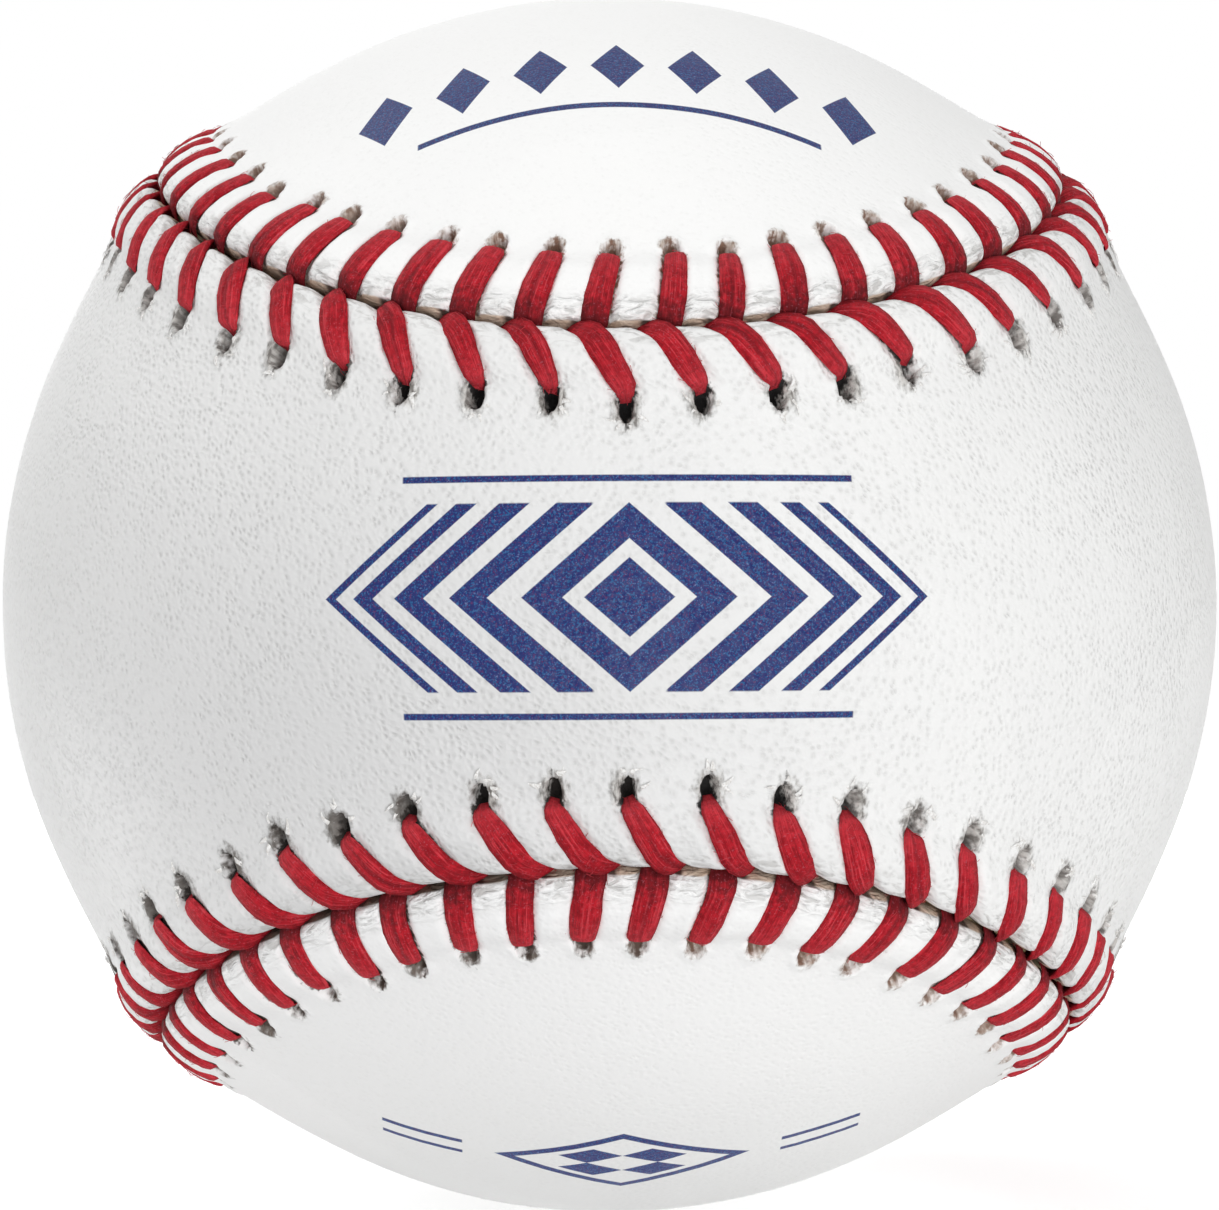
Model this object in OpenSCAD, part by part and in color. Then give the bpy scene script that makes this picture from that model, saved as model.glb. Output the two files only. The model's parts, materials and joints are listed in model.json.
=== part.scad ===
// A hand-stitched hardball: cork and rubber pill, four yarn windings, a coat of
// latex, two figure-eight leather panels and the waxed thread that sews them.
// The origin is the ball's centre. The front panel's narrow waist faces -Y and
// its wide ends are at +X and -X. The back panel's waist faces +Y, and its wide
// ends are the top and the bottom of the ball.

/* [Pill] */
// Diameter of the cork core
cork_d = 20.6; // [18:0.1:22]
// Wall of the two black rubber half shells
black_rubber_t = 4.1; // [3:0.1:5]
// Thickness of the rubber gasket between the half shells
gasket_t = 1.2; // [0.6:0.1:2]
// Wall of the red rubber capsule round the half shells
red_rubber_t = 2.22; // [1.5:0.01:3]

/* [Windings] */
// Build-up of the first, four-ply grey wool winding
first_winding_t = 14.62; // [12:0.01:16]
// Build-up of the second, three-ply white wool winding
second_winding_t = 1.76; // [1:0.01:3]
// Build-up of the third, three-ply grey wool winding
third_winding_t = 2.25; // [1:0.01:3]
// Build-up of the fine cotton and polyester finishing winding
finishing_winding_t = 0.48; // [0.3:0.01:1]
// Thickness of the latex coat that the cover is laid on
latex_t = 0.06; // [0.04:0.01:0.2]
// Running gap between one layer and the next
layer_gap = 0.02; // [0.01:0.01:0.05]

/* [Cover] */
// Thickness of the leather away from the seam
leather_t = 0.95; // [0.8:0.05:1.4]
// Width of the gap where the two panels' edges meet
seam_gap_w = 0.44; // [0.2:0.02:0.8]
// Height of the rolled lip on each side of the gap
lip_h = 1.05; // [0.6:0.05:1.4]
// Distance from the gap at which the leather starts to lift into its lip
lip_reach = 12; // [9:0.5:13]
// Swing of the seam to each side of the ball's middle, in degrees
seam_swing = 70.9; // [67:0.1:72]
// Third-order ripple of that swing, in degrees
seam_ripple = -3; // [-4.5:0.1:-1.5]
// Lean of the seam round the Y axis, in degrees
seam_lean = 21.4; // [18:0.1:24]

/* [Stitching] */
// Number of double stitches along the whole seam
stitches = 108; // [96:4:116]
// Width of the thread, flattened where it crosses a lip
thread_w = 1.45; // [1:0.05:1.7]
// Thickness of the flattened thread
thread_t = 0.5; // [0.3:0.05:0.7]
// Distance from the gap to the needle holes of the front panel
front_hole_reach = 3.55; // [3:0.05:4.2]
// Distance from the gap to the needle holes of the back panel
back_hole_reach = 4.15; // [3.4:0.05:4.6]
// Diameter of the needle holes through the leather
needle_hole_d = 0.9; // [0.6:0.05:1.1]
// Distance along the seam from a front thread's gap end to its needle hole
front_slant = 2; // [0:0.1:2.4]
// Distance along the seam from a back thread's gap end to its needle hole
back_slant = 0.3; // [0:0.1:1]
// Distance by which a back needle hole trails the front one of its stitch
hole_stagger = 0.7; // [0:0.1:1.2]

/* [Hidden] */

// Colours of the pieces
cork_colour = [0.72, 0.53, 0.33];
black_rubber_colour = [0.08, 0.08, 0.09];
red_rubber_colour = [0.62, 0.12, 0.11];
grey_wool_colour = [0.55, 0.56, 0.58];
white_wool_colour = [0.86, 0.85, 0.82];
dark_wool_colour = [0.42, 0.43, 0.46];
cotton_colour = [0.93, 0.92, 0.88];
latex_colour = [0.90, 0.86, 0.70];
leather_colour = [0.93, 0.93, 0.92];
thread_colour = [0.70, 0.10, 0.15];

// Outer radius of each layer, built up from the core
cork_r = cork_d / 2;
black_rubber_r = cork_r + layer_gap + black_rubber_t;
pill_r = black_rubber_r + layer_gap + red_rubber_t;
first_winding_r = pill_r + layer_gap + first_winding_t;
second_winding_r = first_winding_r + layer_gap + second_winding_t;
third_winding_r = second_winding_r + layer_gap + third_winding_t;
finishing_winding_r = third_winding_r + layer_gap + finishing_winding_t;
latex_r = finishing_winding_r + layer_gap + latex_t;
cover_seat_r = latex_r + layer_gap;
ball_r = cover_seat_r + leather_t;

// Overrun of every cutting block past what it cuts
cut_over = leather_t;
// Facets of the round layers
round_facets = 120;
// Facets of the round seat inside a thin cover panel
cover_seat_facets = 480;
// Facets of a thread's rounded edge and of its bend over the lip
thread_edge_facets = 16;
thread_bend_facets = 160;
hole_facets = 24;

// The leather is worked out on rings that follow the seam and on ribs across the panel
seam_steps = 180;
rib_steps = 8;
// Places of the rings from the gap's edge, as shares of the lip's reach
ring_reach_shares = [0, 0.035, 0.075, 0.14, 0.24, 0.36, 0.53, 0.75, 1];
// Height of the leather on each ring, as shares of the lip's height
ring_height_shares = [0.25, 0.5, 0.74, 1, 0.86, 0.5, 0.22, 0.06, 0];
rings = len(ring_reach_shares);

// Stitches stand closer where the seam turns round a panel's wide end
stitch_crowding_share = 0.08;
// Place of a front thread's gap end, as a share of the thread's width
front_tuck_share = 0.25;
// Place of a back thread's gap end, as a share of the thread's width
back_tuck_share = 0.12;
// Place of the highest point of a thread between its gap end and its needle hole
thread_crest_share = 0.5;
// Clear space between the thread and the leather under it
thread_seat_gap = 0.06;

function unit(v) = v / norm(v);
function degrees_along(arc) = arc / ball_r * 180 / PI;

// Direction from the ball's centre to the seam, for 0 to 720 degrees round the seam
function seam_direction(turn) =
    let (polar = 90 - seam_swing * cos(turn) - seam_ripple * cos(3 * turn),
         round_y = turn / 2 + seam_lean * sin(2 * turn))
    [sin(polar) * sin(round_y), -cos(polar), sin(polar) * cos(round_y)];

// Direction along the ball's surface, square to the seam and into the front panel
function into_front_panel(turn) =
    let (ahead = seam_direction(turn + 1) - seam_direction(turn - 1))
    unit(cross(ahead, seam_direction(turn)));

// Point at a distance from the gap, at a height over the plain ball
function over_ball(turn, reach, height) =
    (ball_r + height) * (cos(degrees_along(reach)) * seam_direction(turn)
                         + sin(degrees_along(reach)) * into_front_panel(turn));

function ring_reach(ring) =
    seam_gap_w / 2 + ring_reach_shares[ring] * (lip_reach - seam_gap_w / 2);
function ring_height(ring) = ring_height_shares[ring] * lip_h;
lip_profile = [for (ring = [0 : rings - 1]) [ring_reach(ring), ring_height(ring)]];
function leather_height(reach) = lookup(reach, lip_profile);

// Length of the seam, and the turn at any distance along it
seam_length_table = let (count = 720)
    [for (i = 0, run = 0; i <= count;
          run = run + ball_r * norm(seam_direction(i + 1) - seam_direction(i)), i = i + 1)
        [run, i]];
seam_length = seam_length_table[len(seam_length_table) - 1][0];
function turn_at(run) = lookup(run - floor(run / seam_length) * seam_length, seam_length_table);

// Distance along the seam of a stitch, counted from the middle of the front panel's top edge
function stitch_run(stitch) =
    let (share = stitch / stitches)
    seam_length * (share - stitch_crowding_share / (8 * PI) * sin(4 * 360 * share));

// Faces of one panel: bands between rings, strips between ribs, and the cut edge
function ring_point(ring, step) = ring * seam_steps + (step + seam_steps) % seam_steps;
function rib_point(step, part) =
    part == 0 ? ring_point(rings - 1, step)
    : part == rib_steps ? ring_point(rings - 1, seam_steps / 2 - step)
    : rings * seam_steps + (step + seam_steps / 4 - 1) * (rib_steps - 1) + part - 1;
function quad(a, b, c, d) = [[a, b, c], [a, c, d]];

module cover_panel() {
    centre = [0, 0, 0];
    ring_points = [
        for (ring = [0 : rings - 1], step = [0 : seam_steps - 1])
            over_ball(step * 720 / seam_steps, ring_reach(ring), ring_height(ring))
    ];
    last_rib = seam_steps / 4 - 1;
    rib_points = [
        for (step = [-last_rib : last_rib], part = [1 : rib_steps - 1])
            let (edge = ring_points[rib_point(step, 0)],
                 level = unit([edge.x, edge.y, 0]),
                 rise = asin(edge.z / norm(edge)) * (1 - 2 * part / rib_steps))
            ball_r * (cos(rise) * level + [0, 0, sin(rise)])
    ];
    points = concat(ring_points, rib_points, [centre]);
    centre_point = len(points) - 1;
    bands = [
        for (ring = [0 : rings - 2], step = [0 : seam_steps - 1])
            each quad(ring_point(ring, step), ring_point(ring + 1, step),
                      ring_point(ring + 1, step + 1), ring_point(ring, step + 1))
    ];
    strips = [
        for (step = [-last_rib : last_rib - 1], part = [0 : rib_steps - 1])
            each quad(rib_point(step, part), rib_point(step, part + 1),
                      rib_point(step + 1, part + 1), rib_point(step + 1, part))
    ];
    right_end = ring_point(rings - 1, last_rib + 1);
    left_end = ring_point(rings - 1, -last_rib - 1);
    ends = [
        for (part = [0 : rib_steps - 1])
            each [[rib_point(last_rib, part), rib_point(last_rib, part + 1), right_end],
                  [rib_point(-last_rib, part + 1), rib_point(-last_rib, part), left_end]]
    ];
    cut_edge = [
        for (step = [0 : seam_steps - 1])
            [ring_point(0, step), ring_point(0, step + 1), centre_point]
    ];
    difference() {
        polyhedron(points = points, faces = concat(bands, strips, ends, cut_edge));
        sphere(r = cover_seat_r, $fn = cover_seat_facets);
    }
}

// A hollow ball between two radii
module layer(outer_r, inner_r) {
    difference() {
        sphere(r = outer_r, $fn = round_facets);
        sphere(r = inner_r, $fn = round_facets);
    }
}

// Half of the black shell, cut short of the middle by half of the gasket
module black_rubber_half() {
    cut_r = black_rubber_r + cut_over;
    difference() {
        layer(black_rubber_r, cork_r + layer_gap);
        translate([-cut_r, -cut_r, -2 * cut_r + gasket_t / 2 + layer_gap])
            cube([2 * cut_r, 2 * cut_r, 2 * cut_r]);
    }
}

// Flattened thread: a strip with rounded edges
module thread_section() {
    straight_w = thread_w - thread_t;
    square([thread_t, straight_w], center = true);
    for (side = [-1, 1])
        translate([0, side * straight_w / 2])
            circle(d = thread_t, $fn = thread_edge_facets);
}

// Centre of the circle through three points
function circle_centre(a, b, c) =
    let (ab = b - a,
         ac = c - a,
         normal = cross(ab, ac),
         square_size = normal * normal)
    a + (cross(normal, ab) * (ac * ac) + cross(ac, normal) * (ab * ab)) / (2 * square_size);

// One visible leg of thread, bent over the lip from the gap to its needle hole
module thread_leg(gap_end, crest, hole_end) {
    centre = circle_centre(gap_end, crest, hole_end);
    start = unit(gap_end - centre);
    finish = unit(hole_end - centre);
    axis = unit(cross(start, finish));
    side = cross(axis, start);
    multmatrix([
        [start.x, side.x, axis.x, centre.x],
        [start.y, side.y, axis.y, centre.y],
        [start.z, side.z, axis.z, centre.z],
        [0, 0, 0, 1]
    ])
        rotate_extrude(angle = acos(start * finish), $fn = thread_bend_facets)
            translate([norm(gap_end - centre), 0])
                thread_section();
}

// All the legs on one side of the gap: panel is 1 for the front and -1 for the back
module thread_legs(panel, hole_reach, slant, trail, tuck_share) {
    function middle_height(reach) = leather_height(reach) + thread_seat_gap + thread_t / 2;
    tuck = tuck_share * thread_w;
    crest_reach = tuck + thread_crest_share * (hole_reach - tuck);
    for (stitch = [0 : stitches - 1]) {
        hole_run = stitch_run(stitch) - trail;
        gap_run = hole_run - slant;
        crest_run = hole_run - thread_crest_share * slant;
        thread_leg(
            over_ball(turn_at(gap_run), panel * tuck, middle_height(tuck)),
            over_ball(turn_at(crest_run), panel * crest_reach, middle_height(crest_reach)),
            over_ball(turn_at(hole_run), panel * hole_reach, middle_height(hole_reach))
        );
    }
}

// The holes that the needle opens in one panel, just past the ends of its threads
module needle_holes(panel, hole_reach, trail) {
    hole_depth = leather_t + lip_h + 2 * cut_over;
    for (stitch = [0 : stitches - 1]) {
        middle = over_ball(turn_at(stitch_run(stitch) - trail),
                           panel * (hole_reach + needle_hole_d / 2), 0);
        rotate([0, acos(middle.z / norm(middle)), atan2(middle.y, middle.x)])
            translate([0, 0, cover_seat_r - cut_over])
                cylinder(h = hole_depth, d = needle_hole_d, $fn = hole_facets);
    }
}

module cork_core() {
    color(cork_colour)
        sphere(r = cork_r, $fn = round_facets);
}

module black_rubber_lower_half() {
    color(black_rubber_colour)
        mirror([0, 0, 1])
            black_rubber_half();
}

module black_rubber_upper_half() {
    color(black_rubber_colour)
        black_rubber_half();
}

module rubber_gasket() {
    color(red_rubber_colour)
        intersection() {
            layer(black_rubber_r, cork_r + layer_gap);
            cylinder(h = gasket_t, r = black_rubber_r + cut_over, center = true, $fn = round_facets);
        }
}

module red_rubber_capsule() {
    color(red_rubber_colour)
        layer(pill_r, black_rubber_r + layer_gap);
}

module first_wool_winding() {
    color(grey_wool_colour)
        layer(first_winding_r, pill_r + layer_gap);
}

module second_wool_winding() {
    color(white_wool_colour)
        layer(second_winding_r, first_winding_r + layer_gap);
}

module third_wool_winding() {
    color(dark_wool_colour)
        layer(third_winding_r, second_winding_r + layer_gap);
}

module finishing_winding() {
    color(cotton_colour)
        layer(finishing_winding_r, third_winding_r + layer_gap);
}

module latex_coat() {
    color(latex_colour)
        layer(latex_r, finishing_winding_r + layer_gap);
}

module cover_panel_front() {
    color(leather_colour)
        difference() {
            cover_panel();
            needle_holes(1, front_hole_reach, 0);
        }
}

// The back panel is the front one turned over about the line between +X and +Z
module cover_panel_back() {
    color(leather_colour)
        difference() {
            rotate(180, [1, 0, 1])
                cover_panel();
            needle_holes(-1, back_hole_reach, hole_stagger);
        }
}

module seam_thread_front() {
    color(thread_colour)
        thread_legs(1, front_hole_reach, front_slant, 0, front_tuck_share);
}

module seam_thread_back() {
    color(thread_colour)
        thread_legs(-1, back_hole_reach, back_slant, hole_stagger, back_tuck_share);
}

cork_core();
black_rubber_lower_half();
black_rubber_upper_half();
rubber_gasket();
red_rubber_capsule();
first_wool_winding();
second_wool_winding();
third_wool_winding();
finishing_winding();
latex_coat();
cover_panel_front();
cover_panel_back();
seam_thread_front();
seam_thread_back();
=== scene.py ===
import json
from dataclasses import dataclass
from functools import partialmethod

import bpy
import numpy as np
from mathutils import Euler, Matrix, Vector


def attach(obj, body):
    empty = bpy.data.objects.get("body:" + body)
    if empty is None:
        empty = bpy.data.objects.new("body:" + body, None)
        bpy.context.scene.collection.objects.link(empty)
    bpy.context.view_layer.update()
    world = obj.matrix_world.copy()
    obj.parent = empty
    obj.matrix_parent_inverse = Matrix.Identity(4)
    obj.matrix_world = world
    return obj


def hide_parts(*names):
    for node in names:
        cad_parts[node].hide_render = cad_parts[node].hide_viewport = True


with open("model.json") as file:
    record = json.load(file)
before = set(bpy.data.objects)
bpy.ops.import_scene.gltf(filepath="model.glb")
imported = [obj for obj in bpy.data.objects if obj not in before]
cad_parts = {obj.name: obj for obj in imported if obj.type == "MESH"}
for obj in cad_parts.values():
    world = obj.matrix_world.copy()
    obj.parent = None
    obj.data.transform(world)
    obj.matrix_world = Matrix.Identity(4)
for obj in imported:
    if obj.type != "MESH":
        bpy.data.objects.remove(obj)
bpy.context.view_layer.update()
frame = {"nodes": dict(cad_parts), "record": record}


# Cork core
# Cork granules bound with a little rubber and pressed hot into a small ball.
# It sits loose at the very middle, with everything else built up round it.

mm = 0.001
granule_size = 1.25


@dataclass(eq=False)
class Field:
    """A value inside a node tree. Arithmetic on it adds Math nodes to that tree."""
    tree: bpy.types.NodeTree
    socket: bpy.types.NodeSocket

    def calc(self, operation, *others):
        math = self.tree.nodes.new("ShaderNodeMath")
        math.operation = operation
        for entry, value in zip(math.inputs, (self, *others)):
            plug(self.tree, value, entry)
        return Field(self.tree, math.outputs[0])

    __add__ = __radd__ = partialmethod(calc, "ADD")
    __mul__ = __rmul__ = partialmethod(calc, "MULTIPLY")
    __sub__ = partialmethod(calc, "SUBTRACT")
    __rsub__ = partialmethod(calc, "MULTIPLY_ADD", -1.0)
    __truediv__ = partialmethod(calc, "DIVIDE")
    __abs__ = partialmethod(calc, "ABSOLUTE")
    __round__ = partialmethod(calc, "ROUND")

    def ramp(self, low, high):
        """Rises smoothly from 0 at low to 1 at high, or falls where low is above high."""
        return put(self.tree, "ShaderNodeMapRange", interpolation_type="SMOOTHSTEP",
                   inputs={"Value": self, "From Min": low, "From Max": high})


def plug(tree, value, entry):
    """Feeds an input with a link or a constant."""
    if isinstance(value, Field):
        tree.links.new(value.socket, entry)
    else:
        entry.default_value = value


def feed(entries, **values):
    """Feeds inputs by name, where an underscore stands for a space."""
    for name, value in values.items():
        plug(value.tree, value, entries[name.replace("_", " ")])


def put(tree, kind, inputs={}, output=0, **settings):
    """Adds a node and gives back one of its outputs."""
    added = tree.nodes.new(kind)
    for name, value in settings.items():
        setattr(added, name, value)
    for name, value in inputs.items():
        plug(tree, value, added.inputs[name])
    return Field(tree, added.outputs[output])


def put_all(tree, kind, inputs={}, **settings):
    """Adds a node and gives back all its outputs by name."""
    node = put(tree, kind, inputs, **settings).socket.node
    return {output.name: Field(tree, output) for output in node.outputs}


def parts(value):
    """The three parts of a vector or a colour."""
    kind = "Color" if value.socket.type == "RGBA" else "XYZ"
    return tuple(put_all(value.tree, f"ShaderNodeSeparate{kind}", {0: value}).values())


def vector(tree, **axes):
    return put(tree, "ShaderNodeCombineXYZ", axes)


def largest(first, *others):
    for other in others:
        first = first.calc("MAXIMUM", other)
    return first


def scaled(whole, factor):
    return put(whole.tree, "ShaderNodeVectorMath", {0: whole, "Scale": factor}, operation="SCALE")


def mixed(share, first, second):
    """One colour passing into another. A tone of three numbers is a screen colour."""
    factor_input, first_input, second_input, colour_output = 0, 6, 7, 2
    first, second = (colour(*tone) if isinstance(tone, tuple) and len(tone) == 3 else tone
                     for tone in (first, second))
    return put(share.tree, "ShaderNodeMix", data_type="RGBA", output=colour_output,
               inputs={factor_input: share, first_input: first, second_input: second})


def colour(red, green, blue):
    """A screen colour from 0 to 255 as the linear light that a shader takes."""
    light = (((c / 255 + 0.055) / 1.055) ** 2.4 if c > 10 else c / 3294.6 for c in (red, green, blue))
    return (*light, 1.0)


def new_finish(name, roughness, **constants):
    """A material with one Principled shader and the constants on its sockets."""
    finish = bpy.data.materials.new(name)
    finish.use_nodes = True
    shader = finish.node_tree.nodes["Principled BSDF"]
    shader.inputs["Roughness"].default_value = roughness
    for entry, value in constants.items():
        shader.inputs[entry.replace("_", " ")].default_value = value
    return finish, finish.node_tree, shader.inputs


def place_in_mm(tree):
    """Place on the piece, in millimetres from the ball's centre."""
    return scaled(put(tree, "ShaderNodeTexCoord", output="Object"), 1 / mm)


def turned(place, axis, angle):
    return put(place.tree, "ShaderNodeVectorRotate", {"Vector": place, "Angle": angle},
               rotation_type=f"{axis}_AXIS")


def noise(place, size, detail=2.0, output=0, **inputs):
    """Cloudy noise from 0 to 1, its lumps about as large as size."""
    return put(place.tree, "ShaderNodeTexNoise", output=output,
               inputs={"Vector": place, "Scale": 1 / size, "Detail": detail, **inputs})


def bump(height):
    """The normal of a surface that is bumped by a height in millimetres."""
    return put(height.tree, "ShaderNodeBump", inputs={"Distance": mm, "Height": height})


def dress(node_name, finish):
    """Gives a CAD piece its finish."""
    materials = frame["nodes"][node_name].data.materials
    materials.clear()
    materials.append(finish)


def pressed_cork():
    finish, tree, shader = new_finish("pressed_cork", roughness=0.85)
    place = place_in_mm(tree)
    granules = {"Vector": place, "Scale": 1 / granule_size}
    granule = put(tree, "ShaderNodeTexVoronoi", granules, output="Color")
    edge = put(tree, "ShaderNodeTexVoronoi", granules, feature="DISTANCE_TO_EDGE").ramp(0.0, 0.12)
    body = mixed(parts(granule)[0].ramp(0.1, 0.9), (150, 104, 62), (214, 172, 118))
    speck = noise(place, 0.35, 3.0).ramp(0.62, 0.7)
    body = mixed(speck, body, (92, 58, 34))
    feed(shader, Base_Color=mixed(edge, (84, 54, 36), body),
         Normal=bump(edge * 0.12 + noise(place, 0.3, 4.0) * 0.08))
    return finish


dress("cork_core", pressed_cork())


# Rubber half shells, gasket and capsule
# Two half shells of black rubber close round the cork with a flat red gasket between them,
# and a red rubber capsule is moulded over both. Together they are the ball's pill.

def new_group(name, *takes):
    """A shader node group, the place in millimetres, and its named inputs, all plain numbers."""
    tree = bpy.data.node_groups.new(name, "ShaderNodeTree")
    for entry in takes:
        tree.interface.new_socket(entry, in_out="INPUT", socket_type="NodeSocketFloat")
    given = tree.nodes.new("NodeGroupInput").outputs
    return tree, place_in_mm(tree), *(Field(tree, given[entry]) for entry in takes)


def close_group(tree, **gives):
    """Gives a group its outputs, each a colour or a plain number, and gives it back."""
    for entry, value in gives.items():
        kind = "Color" if value.socket.type == "RGBA" else "Float"
        tree.interface.new_socket(entry, in_out="OUTPUT", socket_type=f"NodeSocket{kind}")
    feed(tree.nodes.new("NodeGroupOutput").inputs, **gives)
    return tree


def use_group(tree, group, **inputs):
    """Places a group with its own values, and gives back its outputs by name."""
    named = {entry.replace("_", " "): value for entry, value in inputs.items()}
    return put_all(tree, "ShaderNodeGroup", named, node_tree=group)


def rubber_bloom_group():
    """The pale bloom that sulphur leaves on moulded rubber, and the mould's fine texture."""
    tree, place = new_group("rubber_bloom")
    return close_group(tree, Bloom=noise(place, 4.0, 4.0).ramp(0.35, 0.75),
                       Height=noise(place, 0.25, 3.0) * 0.02 + noise(place, 1.6, 2.0) * 0.03)


rubber_bloom = rubber_bloom_group()


def moulded_rubber(name, dark, light, roughness):
    finish, tree, shader = new_finish(name, roughness)
    surface = use_group(tree, rubber_bloom)
    feed(shader, Base_Color=mixed(surface["Bloom"], dark, light),
         Roughness=surface["Bloom"] * 0.12 + roughness, Normal=bump(surface["Height"]))
    return finish


black_rubber = moulded_rubber("black_rubber", (24, 24, 26), (46, 46, 48), 0.55)
red_rubber = moulded_rubber("red_rubber", (140, 30, 28), (176, 52, 44), 0.5)
for node_name in ("black_rubber_lower_half", "black_rubber_upper_half"):
    dress(node_name, black_rubber)
for node_name in ("rubber_gasket", "red_rubber_capsule"):
    dress(node_name, red_rubber)


# Yarn windings
# Four windings of yarn laid on under tension: four-ply grey wool, three-ply white wool,
# three-ply grey wool, and a fine cotton and polyester finishing yarn.

full_turn = 6.28


def wound_yarn_group():
    """Patches of parallel yarn that cross at all angles, as on a tightly wound ball."""
    tree, place, yarn_width, patch_size = new_group("wound_yarn", "Yarn Width", "Patch Size")
    patch = put(tree, "ShaderNodeTexVoronoi", output="Color",
                inputs={"Vector": place, "Scale": patch_size.calc("POWER", -1.0)})
    wound = put(tree, "ShaderNodeVectorRotate", rotation_type="EULER_XYZ",
                inputs={"Vector": place, "Rotation": scaled(patch, full_turn)})
    across = parts(wound)[0] / yarn_width
    ply = across.calc("FRACT") - 0.5
    height = 1.0 - (ply * ply * 4.0)
    fibre = noise(wound, 0.2, 3.0)
    return close_group(tree, Yarn=height.ramp(0.0, 0.75),
                       Shade=across.calc("FLOOR").calc("SINE") * 0.5 + fibre,
                       Height=height * yarn_width * 0.4 + fibre * 0.05)


wound_yarn = wound_yarn_group()


def winding(name, yarn_width, dark, light):
    finish, tree, shader = new_finish(name, roughness=0.9, Sheen_Weight=0.3)
    yarn = use_group(tree, wound_yarn, Yarn_Width=yarn_width, Patch_Size=9.0)
    # Painted shade between the yarns: each yarn's edges darken to its dark colour times 0.35
    gap_colour = tuple(0.35 * channel for channel in colour(*dark)[:3]) + (1.0,)
    body = mixed(yarn["Shade"].ramp(-0.2, 1.2), dark, light)
    feed(shader, Base_Color=mixed(yarn["Yarn"], gap_colour, body), Normal=bump(yarn["Height"]))
    return finish


for node_name, yarn, yarn_width, dark, light in (
        ("first_wool_winding", "grey_wool", 1.5, (128, 130, 134), (182, 184, 188)),
        ("second_wool_winding", "white_wool", 1.2, (206, 202, 192), (240, 238, 230)),
        ("third_wool_winding", "dark_wool", 1.2, (96, 98, 104), (150, 152, 158)),
        ("finishing_winding", "cotton_yarn", 0.45, (216, 210, 194), (246, 243, 234))):
    dress(node_name, winding(yarn, yarn_width, dark, light))


# Latex coat
# A thin coat of latex cement, rolled on over the finishing yarn so that the cover sticks.
# It dries yellowish, tacky and a little lumpy.

def dried_latex():
    finish, tree, shader = new_finish("dried_latex", roughness=0.4, Coat_Roughness=0.3)
    pool = noise(place_in_mm(tree), 3.0, 4.0)
    feed(shader, Base_Color=mixed(pool.ramp(0.3, 0.7), (196, 180, 138), (226, 214, 178)),
         Coat_Weight=pool.ramp(0.3, 0.8) * 0.5, Normal=bump(pool * 0.1))
    return finish


dress("latex_coat", dried_latex())


# Leather cover panels
# Two figure-eight panels of white alum-tanned hide, die cut, dampened and pulled over the ball.
# Their edges meet at a narrow gap, and the stitches draw them up into a lip on each side of it.

cup_rest = frame["record"]["mounts"][0]["pos_m"]
ball_r = -cup_rest[2] / mm
leather_t = 0.95
seat_r = ball_r - leather_t
seam_gap_w = 0.44
lip_h = 1.05
lip_reach = 12.0
seam_swing = 70.9
seam_ripple = -3.0
seam_lean = 21.4

stitches = 108
stitch_crowding_share = 0.08
thread_w = 1.62
thread_t = 0.58

# Rise of the leather above the plain ball beside the gap, as shares of the lip's reach and height
lip_reach_shares = (0, 0.035, 0.075, 0.14, 0.24, 0.36, 0.53, 0.75, 1)
lip_height_shares = (0.12, 0.68, 0.92, 1, 0.86, 0.5, 0.22, 0.06, 0)

# How far the needle strays from a hole's right place, along the seam and away from it
stray_along = 0.16
stray_away = 0.2


@dataclass(eq=False)
class Side:
    """One side of the seam: its panel, where its needle holes lie, and how its stitches lean and hook."""
    name: str
    into: int  # 1 into the front panel, -1 into the back one
    middle_reach: float  # from the gap to the middle of the row of holes
    slant: float  # how far a stitch runs along the seam between gap and hole
    hook: float  # how much further it hooks back at the gap
    trail: float  # how far the leather beside the stitches is dragged along
    edge_bulge: float  # how far the edge swells out between two stitches
    lip_height: float  # of the leather next to the gap over the plain ball
    hole_size: tuple  # width along the seam, length away from it and depth of a torn needle hole
    first_end: float  # stitch at one far end of the panel
    fold_axis: int  # axis that the panel's two long halves mirror each other over
    seed: int

    def __post_init__(self):
        draw = np.random.default_rng(self.seed)
        self.hole_jog = draw.uniform(-stray_along, stray_along, stitches)
        self.hole_reach = self.middle_reach + draw.uniform(-stray_away, stray_away, stitches)

    def from_hole(self, column, reach, stitch):
        """Distances of points from a stitch's hole, along the seam and away from it."""
        hole = stitch % stitches
        return (column - stitch) * pitch - self.hole_jog[hole], reach - self.hole_reach[hole]


front = Side("front", 1, middle_reach=3.55, slant=1.9, hook=0.85, trail=0.0, edge_bulge=0.17,
             lip_height=lip_h + 0.16, hole_size=(0.84, 1.45, leather_t - 0.08),
             first_end=-stitches / 4, fold_axis=2, seed=11)
back = Side("back", -1, middle_reach=4.15, slant=0.8, hook=0.0, trail=0.73, edge_bulge=0.05,
            lip_height=lip_h, hole_size=(1.15, 1.0, 0.45), first_end=0, fold_axis=0, seed=12)


def seam_direction(turn):
    """Unit vectors from the ball's centre to the seam, for 0 to 720 degrees round it."""
    polar = 90 - seam_swing * np.cos(np.radians(turn)) - seam_ripple * np.cos(np.radians(3 * turn))
    polar = np.radians(polar)
    round_y = np.radians(turn / 2 + seam_lean * np.sin(np.radians(2 * turn)))
    return np.stack([np.sin(polar) * np.sin(round_y), -np.cos(polar), np.sin(polar) * np.cos(round_y)], -1)


def unit(vectors):
    return vectors / np.linalg.norm(vectors, axis=-1, keepdims=True)


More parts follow.
